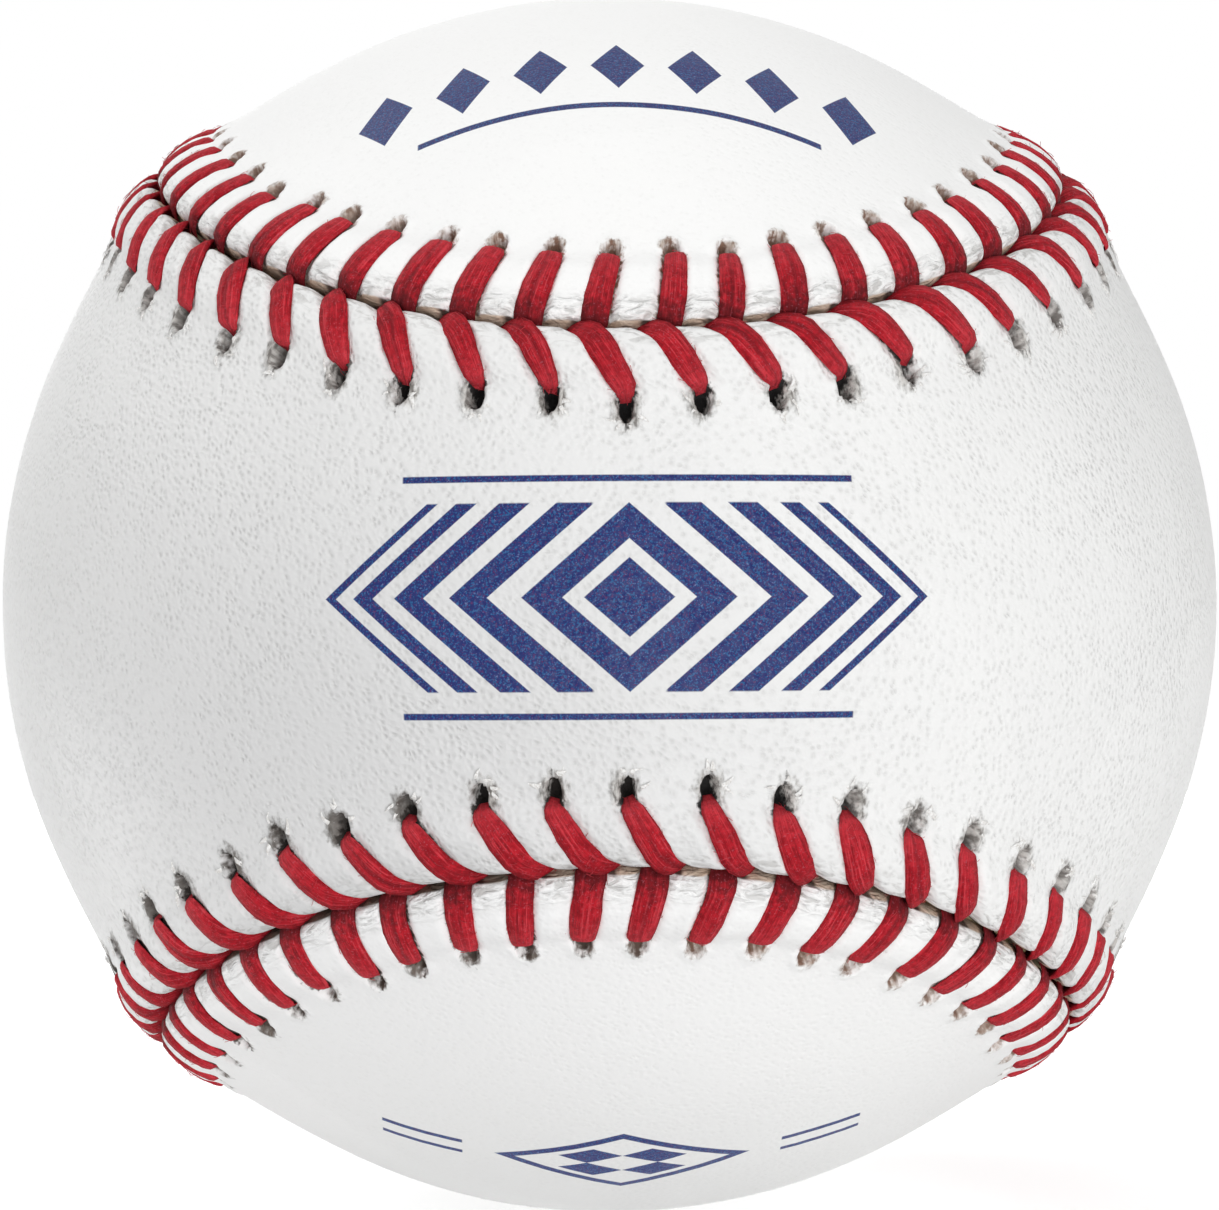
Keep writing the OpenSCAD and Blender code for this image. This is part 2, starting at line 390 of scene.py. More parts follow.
turn_table = np.linspace(-180, 900, 4321)
steps = np.linalg.norm(np.diff(seam_direction(turn_table), axis=0), axis=1) * ball_r
run_table = np.concatenate([[0], np.cumsum(steps)])
run_table -= np.interp(0, turn_table, run_table)
seam_length = np.interp(720, turn_table, run_table)
pitch = seam_length / stitches


def stitch_run(stitch):
    """Distance of a stitch along the seam, from the middle of the front panel's top edge."""
    share = stitch / stitches
    return seam_length * (share - stitch_crowding_share / (8 * np.pi) * np.sin(8 * np.pi * share))


def over_ball(run, reach):
    """Unit vectors to points at a distance along the seam and at a reach into the front panel."""
    turn = np.interp(run, run_table, turn_table)
    seam = seam_direction(turn)
    into = unit(np.cross(seam_direction(turn + 1) - seam_direction(turn - 1), seam))
    arc = (reach / ball_r)[..., None]
    return np.cos(arc) * seam + np.sin(arc) * into


def leg_place(side, stitch, reach, jog=0.0):
    """The point at a reach along a stitch's own slanted line, where its thread lies too."""
    hook_reach = 1.4
    trail_start = side.middle_reach + 1
    way = np.minimum(reach / side.middle_reach, 1)
    fade = np.clip((lip_reach - reach) / (lip_reach - trail_start), 0, 1)
    hooked = np.maximum(1 - reach / hook_reach, 0)
    shift = jog - side.trail * fade * fade * (3 - 2 * fade) - side.slant * (1 - way) - side.hook * hooked ** 2
    return over_ball(stitch_run(stitch) + shift, side.into * reach)


def square_place(side, stitch, reach):
    """The point at a reach straight in from the seam."""
    return over_ball(stitch_run(stitch), side.into * reach)


def keep_values(mesh, values):
    """Stores named values on a mesh's points."""
    for label, value in values.items():
        kept = mesh.attributes.new(label, "FLOAT", "POINT").data
        kept.foreach_set("value", value.astype(np.float32).ravel())


scene = bpy.context.scene


def place_in_scene(name, data):
    """Puts a mesh, a lamp or a camera in the scene."""
    added = bpy.data.objects.new(name, data)
    scene.collection.objects.link(added)
    return added


# Columns of points, drawn together beside the thread where the leather turns down to it
columns_a_stitch = 20
evenly, drawn_together = 0.6, 0.4


class Sheet:
    """One cover panel's mesh, built ring by ring from its inner face to its outer one."""

    def __init__(self, side):
        self.side = side
        self.rows, self.faces, self.count = [], [], 0
        half = columns_a_stitch // 2
        column = np.arange(stitches * columns_a_stitch)
        step = (column + half - 1) // columns_a_stitch
        beside = (column - step * columns_a_stitch) / half
        self.stitch_of_column = step + 0.5 * (evenly * beside + drawn_together * beside ** 3)

    def add(self, directions, stitch, reach, lift):
        """Adds a row for each point. Its lift is 0 on the inner face and 1 on the outer one."""
        added = len(directions)
        points = directions * (seat_r + lift * (ball_r - seat_r))
        self.rows.append(np.column_stack([points, stitch, np.full(added, reach), np.full(added, lift)]))
        self.count += added
        return np.arange(self.count - added, self.count)

    def ring(self, reach, lift=1.0, every=1, place=leg_place):
        """A ring of points at one reach from the gap, which bulges out beside the threads."""
        under_thread_share, swelling_share, bulge_reach = 0.28, 0.5, 1.3
        stitch = self.stitch_of_column[::every]
        off_thread = 2 * np.abs(stitch - np.round(stitch))
        swelling = np.clip((off_thread - under_thread_share) / swelling_share, 0, 1)
        bulge = self.side.edge_bulge * np.clip(1 - reach / bulge_reach, 0, 1) * np.sin(swelling * np.pi / 2)
        return self.add(place(self.side, stitch, reach - bulge), stitch, reach, lift)

    def band(self, low, high):
        """Joins two rings, of which one may have half as many points as the other."""
        if len(low) == len(high):
            self.faces.append(np.stack([low, np.roll(low, -1), np.roll(high, -1), high], 1))
            return
        order = 1 if len(low) > len(high) else -1
        fine, coarse = (low, high)[::order]
        middle, next_fine, next_coarse = fine[1::2], np.roll(fine, -1)[1::2], np.roll(coarse, -1)
        for corners in ((fine[::2], middle, coarse), (middle, next_coarse, coarse),
                        (middle, next_fine, next_coarse)):
            self.faces.append(np.stack(corners[::order], 1))

    def ribs(self, ring, reach, lift, steps, outward):
        """Closes the panel with arcs from each point of a ring across to its mirror image."""
        fold, count = self.side.fold_axis, len(ring)
        first = round(self.side.first_end / stitches * count)
        near, far = (ring[(first + way * np.arange(1, count // 2)) % count] for way in (1, -1))
        known = np.concatenate(self.rows)[near]
        directions, stitch = unit(known[:, :3]), known[:, 3]
        upright = np.eye(3)[fold]
        level = unit(directions * (1 - upright))
        rise = np.arcsin(directions[:, fold])
        grid = [near]
        for step in range(1, steps):
            angle = rise * (1 - 2 * step / steps)
            arc = np.cos(angle)[:, None] * level + np.sin(angle)[:, None] * upright
            grid.append(self.add(arc, stitch, reach + min(step, steps - step), lift))
        grid = np.stack([*grid, far], 1)
        squares = np.stack([grid[:-1, :-1], grid[1:, :-1], grid[1:, 1:], grid[:-1, 1:]], -1).reshape(-1, 4)
        start, end = (np.full(steps, ring[(first + half) % count]) for half in (0, count // 2))
        closing = [squares, np.stack([start, grid[0, :-1], grid[0, 1:]], 1),
                   np.stack([grid[-1, :-1], end, grid[-1, 1:]], 1)]
        self.faces += closing if outward else [face[:, ::-1] for face in closing]

    def finish(self, name):
        """The sheet as a mesh, with what each point and corner needs to know of its stitch."""
        known = np.concatenate(self.rows)
        columns, reaches, lifts = known[:, 3:].T
        faces = [face[::-self.side.into].tolist() for block in self.faces for face in block]
        mesh = bpy.data.meshes.new(name)
        mesh.from_pydata((known[:, :3] * mm).tolist(), [], faces)
        nearest = np.round(columns).astype(int)
        across, past_hole = self.side.from_hole(columns, reaches, nearest)
        keep_values(mesh, {"across": across, "reach": reaches, "past_hole": past_hole, "lift": lifts,
                           "stitch": nearest % stitches})
        corner_point = np.empty(len(mesh.loops), np.int32)
        mesh.loops.foreach_get("vertex_index", corner_point)
        face_start, face_size = np.empty((2, len(mesh.polygons)), np.int32)
        mesh.polygons.foreach_get("loop_start", face_start)
        mesh.polygons.foreach_get("loop_total", face_size)
        # A face that spans the seam's start takes the last stitch's columns as running on past it
        corner_column = columns[corner_point]
        highest = np.repeat(np.maximum.reduceat(corner_column, face_start), face_size)
        corner_column = corner_column + stitches * (highest - corner_column > stitches / 2)
        middle = np.repeat(np.add.reduceat(corner_column, face_start) / face_size, face_size)
        corner_reach = reaches[corner_point]
        across, past_hole = self.side.from_hole(corner_column, corner_reach, np.round(middle).astype(int))
        depth = corner_reach - (1 - lifts[corner_point]) * leather_t
        for label, u, v in (("stitch_uv", across, past_hole), ("seam_uv", corner_column * pitch, depth)):
            layer = mesh.uv_layers.new(name=label)
            layer.data.foreach_set("uv", np.stack([u, v], 1).astype(np.float32).ravel())
        return place_in_scene(name, mesh)


inner_reach = 1.4  # from the gap to the edge of the inner face

# The cut edge's rounding: how far each step lies from the plain edge, and its share of the thickness
edge_rounding = ((0.0, 0.0), (-0.03, 0.35), (-0.02, 0.62), (0.04, 0.84), (0.13, 0.95))


def flat_panel(side):
    """One panel as it lies on the plain ball, before its lips are raised."""
    sheet = Sheet(side)
    edge = seam_gap_w / 2
    hole = side.middle_reach
    inner = sheet.ring(inner_reach, lift=0.0, every=2, place=square_place)
    sheet.ribs(inner, inner_reach, lift=0.0, steps=10, outward=False)
    over_lip = np.linspace(edge + 0.62, hole - 0.3, 13)
    round_hole = np.linspace(hole - 0.16, hole + 1.75, 12)
    plain = np.linspace(0, 1, 8)[1:] ** 1.3 * (lip_reach - round_hole[-1]) + round_hole[-1]
    rings = [(edge + rounding, lift, 1) for rounding, lift in edge_rounding]
    rings += [(reach, 1.0, 1) for reach in (edge + 0.26, edge + 0.43, *over_lip, *round_hole)]
    rings += [(reach, 1.0, 2) for reach in plain]
    last = inner
    for reach, lift, every in rings:
        ring = sheet.ring(reach, lift, every)
        sheet.band(last, ring)
        last = ring
    sheet.ribs(last, reach=lip_reach, lift=1.0, steps=22, outward=True)
    return sheet.finish(f"cover_panel_{side.name}_leather")


def new_tree(name, *sizes):
    """A Geometry Nodes tree that takes a shape, named sizes and a material."""
    tree = bpy.data.node_groups.new(name, "GeometryNodeTree")
    takes = {"Shape": "Geometry", **dict.fromkeys(sizes, "Float"), "Material": "Material"}
    for entry, kind in takes.items():
        tree.interface.new_socket(entry, in_out="INPUT", socket_type=f"NodeSocket{kind}")
    tree.interface.new_socket("Shape", in_out="OUTPUT", socket_type="NodeSocketGeometry")
    given = tree.nodes.new("NodeGroupInput").outputs
    return tree, {entry: Field(tree, given[entry]) for entry in takes}


def close_tree(tree, shape, material):
    """Ends a tree with plain geometry, smooth shading and the material, and gives it back."""
    shape = put(tree, "GeometryNodeRealizeInstances", {"Geometry": shape})
    shape = put(tree, "GeometryNodeSetShadeSmooth", {"Geometry": shape})
    shape = put(tree, "GeometryNodeSetMaterial", {"Geometry": shape, "Material": material})
    feed(tree.nodes.new("NodeGroupOutput").inputs, Shape=shape)
    return tree


def make_with(piece, tree, material, **sizes):
    """Runs a tree on a piece with its sizes, and keeps what comes out as a plain mesh."""
    modifier = piece.modifiers.new(tree.name, "NODES")
    modifier.node_group = tree
    values = {"Material": material, **sizes}
    for entry in tree.interface.items_tree:
        name = entry.name.replace(" ", "_")
        if name in values:
            modifier[entry.identifier] = values[name]
    graph = bpy.context.evaluated_depsgraph_get()
    made = bpy.data.meshes.new_from_object(piece.evaluated_get(graph), preserve_all_data_layers=True,
                                           depsgraph=graph)
    piece.modifiers.remove(modifier)
    made.materials.clear()
    made.materials.append(material)
    made.polygons.foreach_set("material_index", [0] * len(made.polygons))
    piece.data = made


def kept_value(tree, name):
    """A value stored on each point of the piece."""
    return put(tree, "GeometryNodeInputNamedAttribute", {"Name": name}, data_type="FLOAT")


def chance(tree, inputs):
    """A random number for each point, from 0 to 1 or between the bounds given."""
    return put(tree, "FunctionNodeRandomValue", inputs, output=1, data_type="FLOAT")


def lip_rise(tree, reach, height):
    """Height of the bare leather above the plain ball, at a reach from the gap."""
    curve = put(tree, "ShaderNodeFloatCurve", {"Value": reach / lip_reach})
    profile = curve.socket.node.mapping.curves[0]
    first, *between, last = zip(lip_reach_shares, lip_height_shares)
    profile.points[0].location = first
    profile.points[1].location = last
    for share, rise in between:
        profile.points.new(share, rise)
    curve.socket.node.mapping.update()
    return curve * height


def outward(tree):
    """The direction away from the ball's centre."""
    place = put(tree, "GeometryNodeInputPosition")
    return put(tree, "ShaderNodeVectorMath", {0: place}, operation="NORMALIZE")


def raised(tree, shape, height):
    """Moves a shape away from the ball's centre by a height in millimetres."""
    offset = scaled(outward(tree), height * mm)
    return put(tree, "GeometryNodeSetPosition", {"Geometry": shape, "Offset": offset})


def egg(across, along, half_width, half_length):
    """Grows from 0 at an oval's middle to 1 on its outline."""
    side_share = across / half_width
    end_share = along / half_length
    return (side_share * side_share + end_share * end_share).calc("SQRT")


def leather_relief_tree():
    """Raises a panel's lips, beds the thread, puffs the leather between and opens the holes."""
    tree, given = new_tree(
        "leather_relief", "Lip Height", "Puff Height", "Groove Depth", "Thread Width", "Hole Length",
        "Hole Width", "Hole Depth", "Rim Height", "Wrinkle Height")
    names = ("across", "reach", "past_hole", "lift", "stitch")
    across, reach, past_hole, lift, stitch = (kept_value(tree, name) for name in names)
    across = abs(across)
    width = given["Thread Width"]
    place = scaled(put(tree, "GeometryNodeInputPosition"), 1 / mm)
    hand = chance(tree, {"ID": stitch, "Seed": 5})
    drawn_up = reach.ramp(-0.1, 0.5)
    beside_thread = across.ramp(width * 0.28, width * 0.74)
    puff = given["Puff Height"] * (hand * 0.6 + 0.7) * beside_thread * past_hole.ramp(0.5, -1.1)
    groove = given["Groove Depth"] * (1.0 - beside_thread) * past_hole.ramp(0.6, 0.0)
    pinch = reach.ramp(1.2, 0.2) * (1.0 - across.ramp(width * 0.4, width * 0.85))
    bed = (puff - groove) * drawn_up - pinch * given["Groove Depth"]
    tear = noise(place, 0.5, 2.0) * 0.7 - 0.35
    half_width, half_length = given["Hole Width"] * 0.5, given["Hole Length"] * 0.5
    off_hole = egg(across, past_hole - half_length, half_width, half_length) + tear
    pit = off_hole.ramp(1.15, 0.6)
    rim = off_hole.ramp(0.7, 1.3) * off_hole.ramp(2.3, 1.3) * past_hole.ramp(0.0, 0.4) * given["Rim Height"]
    crumple = (noise(place, 0.9, 2.0) - 0.5) * reach.ramp(6.0, 2.0) * given["Wrinkle Height"]
    sway = (noise(place, 7.0, 1.0) - 0.5) * 0.12
    surface = lip_rise(tree, reach, given["Lip Height"]) + bed + rim + crumple + sway
    height = surface * (1.0 - pit) - pit * given["Hole Depth"]
    return close_tree(tree, raised(tree, given["Shape"], height * lift), given["Material"])


leather_relief = leather_relief_tree()


# The place left of and below the waist's middle where painted shade greys the front panel most
handled_x, handled_z, handled_stretch = -12.5, -8.0, 1 / 0.84

pore_size = (0.42, 0.34, 0.33)
pore_slant = -0.6
pore_swerve = (0.7, 0.7, 0.7)


def hide_grain_group():
    """Short slanted pores and a fine tooth, as on cowhide, and creases where the seam draws it up."""
    tree, place, reach, run, pore_depth, pebble_height, crease_depth = new_group(
        "hide_grain", "Reach", "Run", "Pore Depth", "Pebble Height", "Crease Depth")
    cloud = noise(place, 9.0, 3.0).ramp(0.35, 0.7)
    x, _, z = parts(place)
    # Painted shade: the hide is greyed towards a place left of and below the waist's middle
    from_handled = egg(x - handled_x, z - handled_z, handled_stretch, 1.0)
    swerve = put(tree, "ShaderNodeVectorMath", operation="MULTIPLY_ADD",
                 inputs={0: noise(place, 2.2, 2.0, output="Color"), 1: pore_swerve, 2: place})
    stretched = put(tree, "ShaderNodeVectorMath", operation="MULTIPLY",
                    inputs={0: turned(swerve, "Y", pore_slant), 1: tuple(1 / size for size in pore_size)})
    cell = put_all(tree, "ShaderNodeTexVoronoi", {"Vector": stretched, "Scale": 1.0, "Randomness": 0.8})
    from_middle = cell["Distance"]
    tint = parts(cell["Color"])[0].ramp(-0.8, 0.6)
    patchy = noise(place, 6.0, 2.0).ramp(0.25, 0.65) * 0.4 + 0.6
    pores = from_middle.ramp(0.42, 0.05) * tint * patchy
    pebbles = from_middle.ramp(0.05, 0.85) * patchy
    tooth = noise(place, 0.14, 2.0) * 0.008 + pebbles * pebble_height
    folds = noise(vector(tree, X=run, Y=reach * 2.8), 0.9, 4.0, Distortion=0.8)
    drawn = reach.ramp(2.0, 0.5)
    # The creases near the gap are also greyed in colour as painted shade
    return close_group(tree, Pores=pores, Creases=folds.ramp(0.52, 0.36) * drawn, Cloud=cloud,
                       Clean=from_handled.ramp(2.0, 30.0) * (cloud * 0.1 + 0.9),
                       Height=tooth - pores * pore_depth + folds * drawn * crease_depth)


hide_grain = hide_grain_group()


def stamp_ink_group():
    """Blue stamping ink, broken by the grain into specks of navy, teal and violet."""
    tree, place = new_group("stamp_ink")
    first, second, third = parts(noise(place, 0.11, 1.0, output="Color"))
    ink = mixed(first.ramp(0.5, 0.66), (12, 28, 94), (26, 84, 136))
    ink = mixed(second.ramp(0.57, 0.7), ink, (74, 30, 88))
    return close_group(tree, Color=mixed(third.ramp(0.63, 0.76), ink, (86, 106, 154)))


stamp_ink = stamp_ink_group()


def soil(place):
    """How much painted shade darkens the seam's gap and holes: most on the lower left."""
    x, _, z = parts(place)
    held = x * 0.8 + z
    return (held + (noise(place, 3.0, 1.0) - 0.5) * 8.0).ramp(-14.0, -21.0)


def stored(tree, name):
    """A value stored on the piece, as its material reads it."""
    return put(tree, "ShaderNodeAttribute", output="Fac", attribute_name=name)


def on_map(tree, name):
    """The two distances that one of a panel's UV maps holds, in millimetres."""
    return parts(put(tree, "ShaderNodeUVMap", uv_map=name))[:2]


def chances(number):
    """Three random values that each stitch has for itself."""
    return parts(put(number.tree, "ShaderNodeTexWhiteNoise", {"W": number}, output="Color",
                     noise_dimensions="1D"))


def torn_hole_group():
    """A hole torn by the needle and the thread's pull: its core, its fray and its fibres."""
    tree, place, hole_width, hole_length, fray_width, raggedness, fading = new_group(
        "torn_hole", "Hole Width", "Hole Length", "Fray Width", "Raggedness", "Fading")
    across, past_hole = on_map(tree, "stitch_uv")
    stitch = round(stored(tree, "stitch"))
    lean, hand, _ = chances(stitch)
    ragged = noise(place, 0.36, 3.0) - 0.5
    x, _, z = parts(place)
    faded = largest((x - z * 0.25).ramp(9.0, 21.0), (z * 0.6 - x).ramp(18.0, 30.0))
    core = abs(across) * 1.5 / hole_width + ragged * 1.2
    core = core + largest(past_hole, 0.0) * 0.8 / hole_length
    fibre = noise(vector(tree, X=across * 5.0, Y=past_hole * 2.2, Z=stitch * 3.1), 1.0, 3.0)
    middle = hole_length * 0.5
    fray = egg(across - (lean - 0.5) * 0.5, past_hole - middle,
               hole_width * 0.5 + fray_width, middle + fray_width + 0.1)
    fray = fray + (ragged + (fibre - 0.5) * 0.6) * raggedness
    return close_group(tree, Core=core.ramp(1.12, 0.78) * (1.0 - faded * fading),
                       Fray=fray.ramp(1.15, 0.5), Soil=soil(place), Fibre=fibre, Hand=hand)


torn_hole = torn_hole_group()


def cut_edge_group():
    """The raw tan edge of the die-cut hide, with a painted shadow beside each stitch where the legs cross the
    gap.
    """
    tree, place, reach, band = new_group("cut_edge", "Reach", "Band")
    stain = noise(place, 1.2, 3.0)
    across = on_map(tree, "stitch_uv")[0] + (stain - 0.5) * 0.8
    # Painted shadow in the gap beside each stitch, where the legs cross
    rubbed = across.ramp(-0.4, -0.75) * across.ramp(-1.7, -1.3)
    tan = mixed(stain.ramp(0.4, 0.65), (228, 206, 186), (200, 176, 156))
    # Painted shade darkens the tan edge on the lower left
    tan = mixed(soil(place) * 0.85, tan, (58, 44, 38))
    ragged = reach + (stain - 0.5) * 0.14
    return close_group(tree, Share=ragged.ramp(band + 0.06, band - 0.06),
                       Color=mixed(rubbed * 0.92, tan, (44, 30, 26)))


cut_edge = cut_edge_group()


def inside(value, low, high, soft=0.035):
    """1 where a value lies between two bounds, with an edge as soft as a stamp leaves."""
    return value.ramp(low - soft, low + soft) * value.ramp(high + soft, high - soft)


def within(value, bound):
    return value.ramp(bound + 0.05, bound - 0.05)


def diamond(x, z, half_width, half_height):
    """Grows from 0 at a diamond's middle to 1 on its outline."""
    return abs(x) / half_width + abs(z) / half_height


def waist_print(place):
    """A plain diamond with chevrons echoing it to both sides between two thin rules."""
    half_width, half_height = 5.6, 4.9
    chevrons = ((7.4, 9.4), (10.8, 12.4), (13.6, 14.7), (15.7, 16.3))
    chevron_slope, chevron_height, middle_gap = 1.15, 4.9, 1.9
    rule_low, rule_high, rule_half_width = 6.0, 6.35, 12.05
    x, y, z = parts(place)
    along = x.calc("ARCTAN2", y * -1.0) * ball_r
    rise = (z / ball_r).calc("ARCSINE") * ball_r
    wide, tall = abs(along), abs(rise)
    core = diamond(along, rise, half_width, half_height)
    motif = largest(inside(core, -1.0, 0.42, soft=0.008), inside(core, 0.62, 1.0, soft=0.008))
    kept = within(tall, chevron_height) * wide.ramp(middle_gap - 0.1, middle_gap + 0.1)
    for start, finish in chevrons:
        motif = largest(motif, inside(wide + tall * chevron_slope, start, finish) * kept)
    rule = inside(tall, rule_low, rule_high) * within(wide, rule_half_width)
    return largest(motif, rule) * y.ramp(0.0, -5.0)


def diamond_row(place):
    """A row of small diamonds over a rule, both bowed down at their ends."""
    elevation, bow, spacing, row_half_width, rule_half_width = 54, 0.012, 4.3, 15.05, 11.05
    x, y, z = parts(turned(place, "X", np.radians(elevation)))
    bowed = z + x * x * bow
    cell = x - round(x / spacing) * spacing
    row = inside(diamond(cell, bowed, half_width=1.5, half_height=2.6), -1.0, 1.0, soft=0.02)
    row = row * within(abs(x), row_half_width)
    rule = inside(bowed, -4.5, -4.0) * within(abs(x), rule_half_width)
    return largest(row, rule) * y.ramp(0.0, -5.0)


def chequered_lozenge(place):
    """A lozenge outlined and filled with checks, between two pairs of bars."""
    elevation, half_width, half_height, check = -59, 7.2, 3.7, 2.0
    x, y, z = parts(turned(place, "X", np.radians(elevation)))
    lozenge = diamond(x, z, half_width, half_height)
    outline = inside(lozenge, 0.84, 1.0, soft=0.01)
    across_check = x / (2 * check) + z / check
    down_check = x / (2 * check) - z / check
    chequer = (round(across_check) + round(down_check)).calc("PINGPONG", 1.0)
    chequer = chequer.ramp(0.4, 0.6) * inside(lozenge, -1.0, 0.72, soft=0.01)
    bars = inside(abs(x), 9.0, 13.5) * inside(abs(z), 0.5, 0.9)
    return largest(outline, chequer, bars) * y.ramp(0.0, -5.0)


def cap_print(place):
    return largest(diamond_row(place), chequered_lozenge(place))


def white_hide(side, hide_tones, pore_tint, grain_depths, torn, core_tones, fray_tones, bare_edge, printed):
    """Hide with its grain and creases, and over them the ink, the torn holes and the cut edge."""
    finish, tree, shader = new_finish(f"white_hide_{side.name}", roughness=0.5, Specular_IOR_Level=0.35)
    run, reach = on_map(tree, "seam_uv")
    grain = use_group(tree, hide_grain, Reach=reach, Run=run, **grain_depths)
    # The hide's random tone, with painted shade greying it towards the lower left of the waist
    body = mixed(grain["Clean"], *hide_tones)
    body = mixed(grain["Pores"] * pore_tint, body, (176, 174, 170))
    # Painted shade in the creases near the gap
    body = mixed(grain["Creases"] * 0.55, body, (158, 155, 151))
    body = mixed(printed(place_in_mm(tree)), body, use_group(tree, stamp_ink)["Color"])

    hole_width, hole_length, _ = side.hole_size
    tear = use_group(tree, torn_hole, Hole_Width=hole_width, Hole_Length=hole_length, **torn)
    fray_tone = mixed(tear["Fibre"].ramp(0.35, 0.65), *fray_tones)
    # Painted shade darkens the fray and the core of the holes on the lower left
    body = mixed(tear["Fray"], body, mixed(tear["Soil"] * 0.8, fray_tone, (92, 87, 82)))
    # The core tones fill each hole: the front's near-black is painted shade inside the hole, the back's brown
    # is the torn hide
    core_tone = mixed(tear["Hand"].ramp(0.55, 0.95), *core_tones)
    body = mixed(tear["Core"], body, mixed(tear["Soil"] * 0.85, core_tone, (52, 47, 43)))
    edge = use_group(tree, cut_edge, Reach=reach, Band=bare_edge)
    feed(shader, Base_Color=mixed(edge["Share"], body, edge["Color"]),
         Roughness=grain["Cloud"] * 0.08 + 0.46 + tear["Fray"] * 0.3,
         Normal=bump(grain["Height"] + tear["Fibre"] * tear["Fray"] * 0.12))
    return finish


finishes = {
    front: white_hide(
        # The front's tones are darker than the back's: painted shade on the waist, between the brighter caps
        front, hide_tones=((215, 215, 215), (241, 241, 240)), pore_tint=0.18,
        grain_depths={"Pore_Depth": 0.03, "Pebble_Height": 0.055, "Crease_Depth": 0.05},
        torn={"Fray_Width": 0.4, "Raggedness": 1.0, "Fading": 0.6},
        # The front's near-black core tones are painted shade inside the holes
        core_tones=((22, 20, 20), (50, 44, 40)), fray_tones=((120, 116, 112), (206, 203, 199)),
        bare_edge=0.2, printed=waist_print),
    back: white_hide(
        back, hide_tones=((248, 248, 248), (249, 249, 248)), pore_tint=0.06,
        grain_depths={"Pore_Depth": 0.008, "Pebble_Height": 0.016, "Crease_Depth": 0.42},
        torn={"Fray_Width": 0.16, "Raggedness": 1.1, "Fading": 0.25},
        core_tones=((128, 100, 84), (148, 132, 120)), fray_tones=((140, 118, 104), (196, 182, 170)),
        bare_edge=0.26, printed=cap_print),
}
for side in (front, back):
    panel = flat_panel(side)
    hole_width, hole_length, hole_depth = side.hole_size
    make_with(panel, leather_relief, finishes[side], Lip_Height=side.lip_height, Puff_Height=0.23,
              Groove_Depth=0.2, Thread_Width=thread_w, Hole_Width=hole_width, Hole_Length=hole_length,
              Hole_Depth=hole_depth, Rim_Height=0.1, Wrinkle_Height=0.12)
    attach(panel, "root")
    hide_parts(f"cover_panel_{side.name}")


# Seam thread
# One waxed red cotton thread sews both panels by hand with a needle on each end.
# Each leg comes up out of the gap, lies flattened over its lip and dives into a needle hole.

def strand_lines(name, side, stitch, reaches, jog, stand_off, girth):
    """The middle lines of strands, one a row, with each point's height and girth."""
    points = leg_place(side, stitch.astype(float), reaches, jog).reshape(-1, 3) * ball_r * mm
    first = np.arange(reaches.size).reshape(reaches.shape)[:, :-1].ravel()
    mesh = bpy.data.meshes.new(name)
    mesh.from_pydata(points.tolist(), np.stack([first, first + 1], 1).tolist(), [])
    values = {"reach": np.abs(reaches), "stand_off": stand_off, "girth": girth,
              "along": np.linspace(0, 1, reaches.shape[1]), "leg": stitch}
    keep_values(mesh, {label: np.broadcast_to(value, reaches.shape) for label, value in values.items()})
    return place_in_scene(name, mesh)


# A leg's points: up out of the gap, over the lip to the near rim of its hole, and down into the hole
gap_reaches = (-0.16, -0.06, 0.1)
lip_points, lip_start, rim_before_hole = 7, 0.34, 0.22
reaches_past_hole = (0.02, 0.16, 0.26)

# Height of the thread's middle line over the leather at each of those points
leg_stand_off = (-0.85, -0.3, -0.04, 0.02, 0.04, 0.05, 0.05, 0.05, 0.05, 0.06, 0.03, -0.22, -0.75)
leg_bow = 0.16  # how far the middle of a leg strays along the seam


def thread_legs(side, girth_shares, seed):
    """The middle line of every leg, from the gap over the lip and down into its hole."""
    draw = np.random.default_rng(seed)
    hole = side.hole_reach[:, None]
    over_lip = np.linspace(0.0, 1.0, lip_points) ** 1.2
    reaches = np.concatenate([np.broadcast_to(gap_reaches, (stitches, len(gap_reaches))),
                              lip_start + (hole - rim_before_hole - lip_start) * over_lip,
                              hole + [reaches_past_hole]], axis=1)
    leg_girth = draw.uniform(0.88, 1.08, (stitches, 1)) * draw.uniform(0.95, 1.05, reaches.shape)
    bow = draw.uniform(-leg_bow, leg_bow, (stitches, 1)) * np.sin(np.pi * np.linspace(0, 1, reaches.shape[1]))
    stitch = np.broadcast_to(np.arange(stitches)[:, None], reaches.shape)
    return strand_lines(f"seam_thread_{side.name}_legs", side, stitch, reaches, side.hole_jog[:, None] + bow,
                        np.array(leg_stand_off), leg_girth * np.array(girth_shares))


section_sweep = 230  # degrees of a circle that are the thread's upper side, before it is flattened


def keep_on(tree, shape, name, value):
    """Stores a named value on each point of a shape inside a tree."""
    return put(tree, "GeometryNodeStoreNamedAttribute", data_type="FLOAT",
               inputs={"Geometry": shape, "Name": name, "Value": value})


